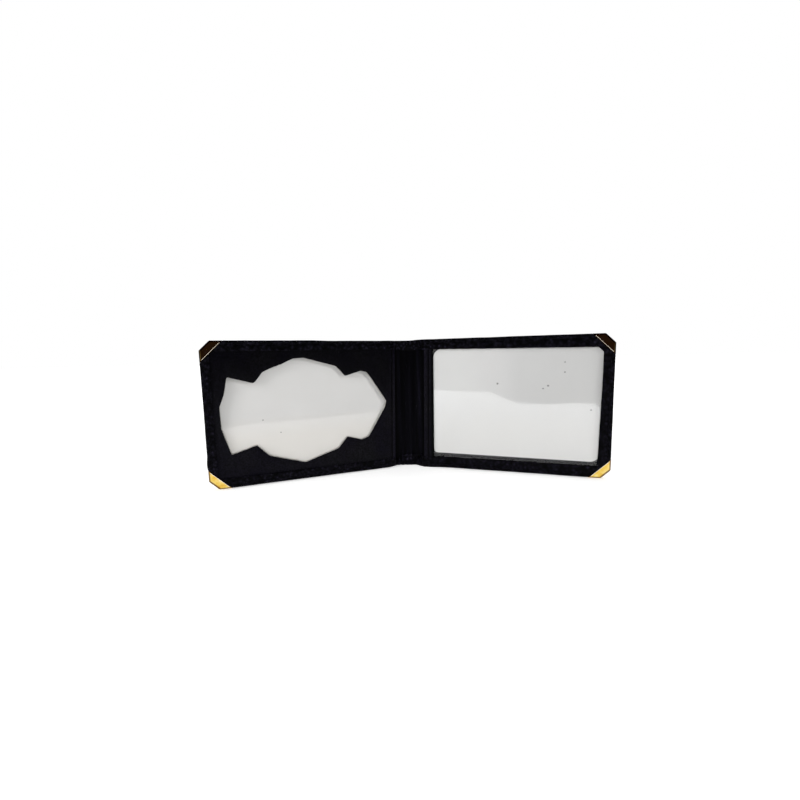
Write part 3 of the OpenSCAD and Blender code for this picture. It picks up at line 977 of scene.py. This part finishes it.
def brass():
    """Polished brass-coloured sheet, with a painted highlight that makes the rolled lip paler along its
    top, and painted shade that darkens the outline and the line where the lip meets the leather. A point's
    place on its cover is found from where it rests."""
    made = Finish("brass", pattern=False, Metallic=1.0)
    drag = made.noise(1.6, 4, (1, 1, 0.3))
    cloud = made.noise(0.32, 3)
    x, y, z = made.split(made.place)
    aside = made.minus(made.maths("ABSOLUTE", x), HALF_SPINE)
    ahead = made.minus(y, AXIS_Y)
    along = made.plus(made.times(aside, math.cos(OPEN_ANGLE)), ahead, -math.sin(OPEN_ANGLE))
    out = made.plus(made.times(aside, math.sin(OPEN_ANGLE)), ahead, math.cos(OPEN_ANGLE))
    rise = made.maths("ABSOLUTE", made.maths("ADD", out, THICK / 2 - AXIS_LEVEL))
    high = made.maths("ABSOLUTE", made.minus(z, COVER_H / 2))
    inward = made.minus(made.minus(PAD_END + COVER_H / 2, along), high)
    # Painted highlight: the rolled lip is paler along its top.
    crest = made.step(rise, THICK / 2 + 0.26, THICK / 2 + 0.31)
    # Painted shade along the line where the lip meets the leather.
    foot = made.step(inward, CORNER_LEG - 0.2, CORNER_LEG - 0.08)
    aside_in = made.minus(PAD_END, along)
    high_in = made.minus(COVER_H / 2, high)
    cut_in = made.plus(-CORNER_CUT / math.sqrt(2), inward, 1 / math.sqrt(2))
    from_rim = made.maths("MINIMUM", made.maths("MINIMUM", aside_in, high_in), cut_in)
    on_face = made.step(rise, THICK / 2 - 1.1, THICK / 2 - 0.7)
    # Painted shade: a dark rim along the outline of the face.
    rim = made.times(made.step(from_rim, 1.0, 0.6), on_face)
    painted_dark_edges = made.maths("MAXIMUM", foot, made.times(rim, 0.92))
    sheet = made.ramp(cloud, [(0.3, (0.72, 0.41, 0.05)), (0.5, (0.81, 0.57, 0.12)),
                              (0.7, (0.88, 0.70, 0.30))])
    lit = made.mixed(crest, sheet, (0.95, 0.88, 0.76))
    made.set("Base Color", made.mixed(painted_dark_edges, lit, (0.11, 0.055, 0.025)))
    made.rough(drag, 0.03, 0.09)
    made.bump(made.plus(drag, cloud, 1.5), 0.012)
    return made


def thread():
    made = Finish("thread", Specular_IOR_Level=0.05)
    twist = made.noise(3.5, 2)
    dark, light = (0.0018, 0.0017, 0.0030), (0.0042, 0.0040, 0.0060)
    made.set("Base Color", made.ramp(twist, [(0.3, dark), (0.7, light)]))
    made.rough(twist, 0.45, 0.65)
    made.bump(twist, 0.06)
    return made


def board(name, dark, light):
    made = Finish(name, pattern=False)
    fibre = made.noise(1.8, 5)
    made.set("Base Color", made.ramp(fibre, [(0.3, dark), (0.7, light)]))
    made.rough(fibre, 0.75, 0.95)
    made.bump(fibre, 0.05)
    return made


# Pieces

GRAINED, SMOOTH, LINED = grained_leather(), smooth_leather(), lining_leather()
# Each card's last colour is a painted warm reflection of the floor, tinting its foot.
BADGE_CARD = glossy_card("badge_card", (0.755, 0.75, 0.735), (1.005, 0.985, 0.95))
ID_CARD = glossy_card("id_card", (0.785, 0.785, 0.775), (1.0, 0.995, 0.985))
FILM, BRASS, THREAD = clear_film(), brass(), thread()

for half in HALVES:
    leather = bend(GRAINED.on(outer_leather(half), "outer_leather"), half)
    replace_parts(leather, "spine_leather", half + "_fold_leather", half + "_cover_leather")
    bend(THREAD.on(seam_thread(half), "outer_leather"), half)
    inner = bend(LINED.on(lining(half), "smooth_lining"), half)
    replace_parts(inner, "spine_lining", half + "_fold_lining",
                "badge_gutter_lining" if half == "badge" else "id_pocket_lining")

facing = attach(SMOOTH.on(badge_facing(), "smooth_leather"), "badge_cover")
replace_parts(facing, "badge_panel_leather")

badge_card = slab("badge_card", -1, (skin(PAD_START + 0.9), SKIN_END - HIDDEN_HEM),
                  (HIDDEN_HEM, COVER_H - HIDDEN_HEM), BADGE_CARD_FACE, BADGE_CARD_T,
                  step=3, seed=9, warp=0.03,
                  lift=badge_lift, extra=beside(cutout_ring(), (-0.4, 0.15, 0.6)),
                  specks=((84.1, 34.2, 0.55), (75.3, 26.8, 0.5)))
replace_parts(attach(BADGE_CARD.on(badge_card, "white_card"), "badge_cover"), "badge_insert")

id_card = slab("id_card", 1, (skin(WINDOW_START), SKIN_END - HALVES["id"]["side_hem"] + ID_CARD_UNDER),
               (ID_CARD_FOOT, COVER_H - SPINE_HEM + ID_CARD_UNDER), ID_CARD_FACE, ID_CARD_T,
               step=3, seed=11, warp=0.03, rounds=(4.8, 2.7, 5.0, 2.2), tilt=0.35,
               specks=((53.5, 50.3, 0.9), (80.1, 49.2, 0.75), (77.6, 47.6, 0.6), (88.3, 56.5, 0.6),
                       (88.2, 61.8, 0.55), (101.5, 36.4, 0.6)))
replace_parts(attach(ID_CARD.on(id_card, "white_card"), "id_cover"), "id_insert")

film = slab("window_film", 1, (skin(PAD_START + 1.7), SKIN_END - HIDDEN_HEM),
            (HIDDEN_HEM, COVER_H - HIDDEN_HEM), FILM_FACE, FILM_T, step=2, seed=12, warp=0.05)
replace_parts(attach(FILM.on(film, "clear_film"), "id_cover"), "id_window_film")

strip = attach(SMOOTH.on(window_strip(), "outer_leather"), "id_cover")
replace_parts(strip, "id_window_strip")

GREY_BOARD = board("grey_board", (0.14, 0.13, 0.11), (0.22, 0.20, 0.17))
PALE_BOARD = board("pale_board", (0.36, 0.35, 0.33), (0.50, 0.49, 0.47))
for node in ("badge_cover_board", "id_cover_board"):
    GREY_BOARD.on(frame["nodes"][node], "board")
PALE_BOARD.on(frame["nodes"]["badge_panel_core"], "board")
for half in HALVES:
    for end in ("top", "bottom"):
        corner = BRASS.on(frame["nodes"][f"{half}_corner_{end}"], "brass_corner")
        edge = corner.modifiers.new("edges", "BEVEL")
        edge.width = 0.07 * MM
        edge.segments = 2
        edge.limit_method = "ANGLE"
        edge.angle_limit = math.radians(35)
        edge.harden_normals = True


# Camera, found from the photograph's perspective

PHOTO_PX = 800
FOCAL_PX = 374.77
EYE = Vector((-11.14, -208.22, 66.04)) * MM
YAW, DIP, ROLL = (math.radians(v) for v in (1.605, 6.498, -1.167))

forward = Vector((math.sin(YAW) * math.cos(DIP), math.cos(YAW) * math.cos(DIP), -math.sin(DIP)))
level_right = Vector((math.cos(YAW), -math.sin(YAW), 0))
level_up = level_right.cross(forward)
right = level_right * math.cos(ROLL) + level_up * math.sin(ROLL)
up = level_up * math.cos(ROLL) - level_right * math.sin(ROLL)
lens = bpy.data.cameras.new("camera")
lens.sensor_width = 36
lens.lens = lens.sensor_width * FOCAL_PX / PHOTO_PX
lens.clip_start = 0.005
camera = add("camera", lens)
camera.matrix_world = Matrix((right, up, -forward)).transposed().to_4x4()
camera.location = EYE
bpy.context.scene.camera = camera


# Floor, tent, lamps and world

def plane(name, corners, nodes):
    data = bpy.data.meshes.new(name)
    data.from_pydata(corners, [], [tuple(range(len(corners)))])
    data.materials.append(nodes.owner)
    made = add(name, data)
    return made


def stage_nodes(name):
    """A material with no nodes yet, and the place of its points in metres."""
    made = Nodes(bpy.data.materials.new(name))
    made.tree.nodes.clear()
    return made, made.node("TexCoord").outputs["Object"]


def floor_finish(colour, glow):
    """A pale floor that keeps the shadow near the object and runs out to plain white far from it."""
    made, spot = stage_nodes("floor")
    away = made.node("VectorMath", {0: spot}, operation="LENGTH").outputs["Value"]
    strength = made.times(made.seen_directly(), made.step(away, 0.2, 0.9, glow, 1.0))
    diffuse = made.node("BsdfDiffuse", {"Color": (colour, colour, colour)}).outputs[0]
    light = made.node("Emission", {"Strength": strength}).outputs[0]
    both = made.node("AddShader", {0: diffuse, 1: light}).outputs[0]
    made.node("OutputMaterial", {"Surface": both})
    return made


def flag_finish():
    """The dark room that gloss mirrors, lighter at the front's left, where the window mirrors it, and
    low at the front's right, where the badge's card does."""
    made, spot = stage_nodes("flag")
    x, y, z = made.split(spot)
    dark, grey = (0.016, 0.009, 0.012), (0.3, 0.29, 0.29)
    left = made.ramp(made.step(x, -0.6, 0.2), [
        (0.0, (0.68, 0.68, 0.66)), (0.3, (0.66, 0.66, 0.64)), (0.375, (0.5, 0.48, 0.49)),
        (0.4375, (0.42, 0.4, 0.41)), (0.5, (0.1, 0.1, 0.11)), (0.7, dark)])
    near = TENT_FRONT + 0.01
    low_front = made.times(made.maths("LESS_THAN", z, 0.15), made.maths("LESS_THAN", y, near))
    right = made.times(made.step(x, 0.12, 0.16), made.step(z, 0.2, 0.0))
    right = made.times(right, made.step(y, near, TENT_FRONT))
    room = made.mixed(right, made.mixed(low_front, dark, left), grey)
    light = made.node("Emission", {"Color": room}).outputs[0]
    made.node("OutputMaterial", {"Surface": light})
    return made


# Plan of the floor, whose front edge shows in the window, and of the tent, in metres
FLOOR_FAR = 6.0
FLOOR_Z = -0.0005
FLOOR_FRONT = [(-FLOOR_FAR, -0.44), (-0.259, -0.438), (-0.15, -0.445), (-0.10, -0.37), (-0.05, -0.311),
               (0.0, -0.33), (0.043, -0.352), (0.05, -0.318), (0.089, -0.321), (0.217, -0.333),
               (FLOOR_FAR, -0.335)]
FLOOR_PLAN = FLOOR_FRONT + [(FLOOR_FAR, FLOOR_FAR), (-FLOOR_FAR, FLOOR_FAR)]
TENT_FRONT, TENT_BACK, TENT_SIDE, TENT_TOP, TENT_FOOT = -0.75, 1.2, 0.62, 0.8, -0.3

plane("floor", [(x, y, FLOOR_Z) for x, y in FLOOR_PLAN], floor_finish(0.8, 0.5))
FLAG = flag_finish()


def flag(name, corners):
    """A side of the dark tent around the camera, which only gloss shows."""
    made = plane(name, corners, FLAG)
    for rays in ("camera", "diffuse", "shadow", "transmission"):
        setattr(made, "visible_" + rays, False)


def wall(name, start, end):
    """An upright side of the tent between two places of its plan."""
    flag(name, [(*start, TENT_FOOT), (*end, TENT_FOOT), (*end, TENT_TOP), (*start, TENT_TOP)])


front_left, front_right = (-TENT_SIDE, TENT_FRONT), (TENT_SIDE, TENT_FRONT)
back_left, back_right = (-TENT_SIDE, TENT_BACK), (TENT_SIDE, TENT_BACK)
wall("flag_front", front_left, front_right)
flag("flag_top", [(*corner, TENT_TOP) for corner in (front_left, front_right, back_right, back_left)])
wall("flag_back", back_right, back_left)
wall("flag_side_0", front_left, back_left)
wall("flag_side_2", front_right, back_right)


def lamp(name, spot, aim, size, watts):
    data = bpy.data.lights.new(name, "AREA")
    data.size = size
    data.energy = watts
    made = add(name, data)
    made.location = spot
    made.rotation_euler = (Vector(aim) - Vector(spot)).to_track_quat("-Z", "Y").to_euler()
    made.visible_glossy = False


lamp("left", (-0.45, -0.3, 0.25), (0, 0, 0.04), 0.26, 1.55)
lamp("right", (0.75, -0.5, 0.35), (0, 0, 0.04), 0.26, 2.8)
lamp("back", (0.1, 0.5, 0.5), (0, 0, 0.03), 0.5, 1.8)

AMBIENT, BACKDROP = 0.48, 1.0
sky = Nodes(bpy.data.worlds.new("world"))
bpy.context.scene.world = sky.owner
background = sky.tree.nodes["Background"].inputs
sky.feed(background["Color"], (1, 1, 1))
sky.feed(background["Strength"], sky.step(sky.seen_directly(), 0, 1, AMBIENT, BACKDROP))

bpy.context.scene.view_settings.view_transform = "Standard"
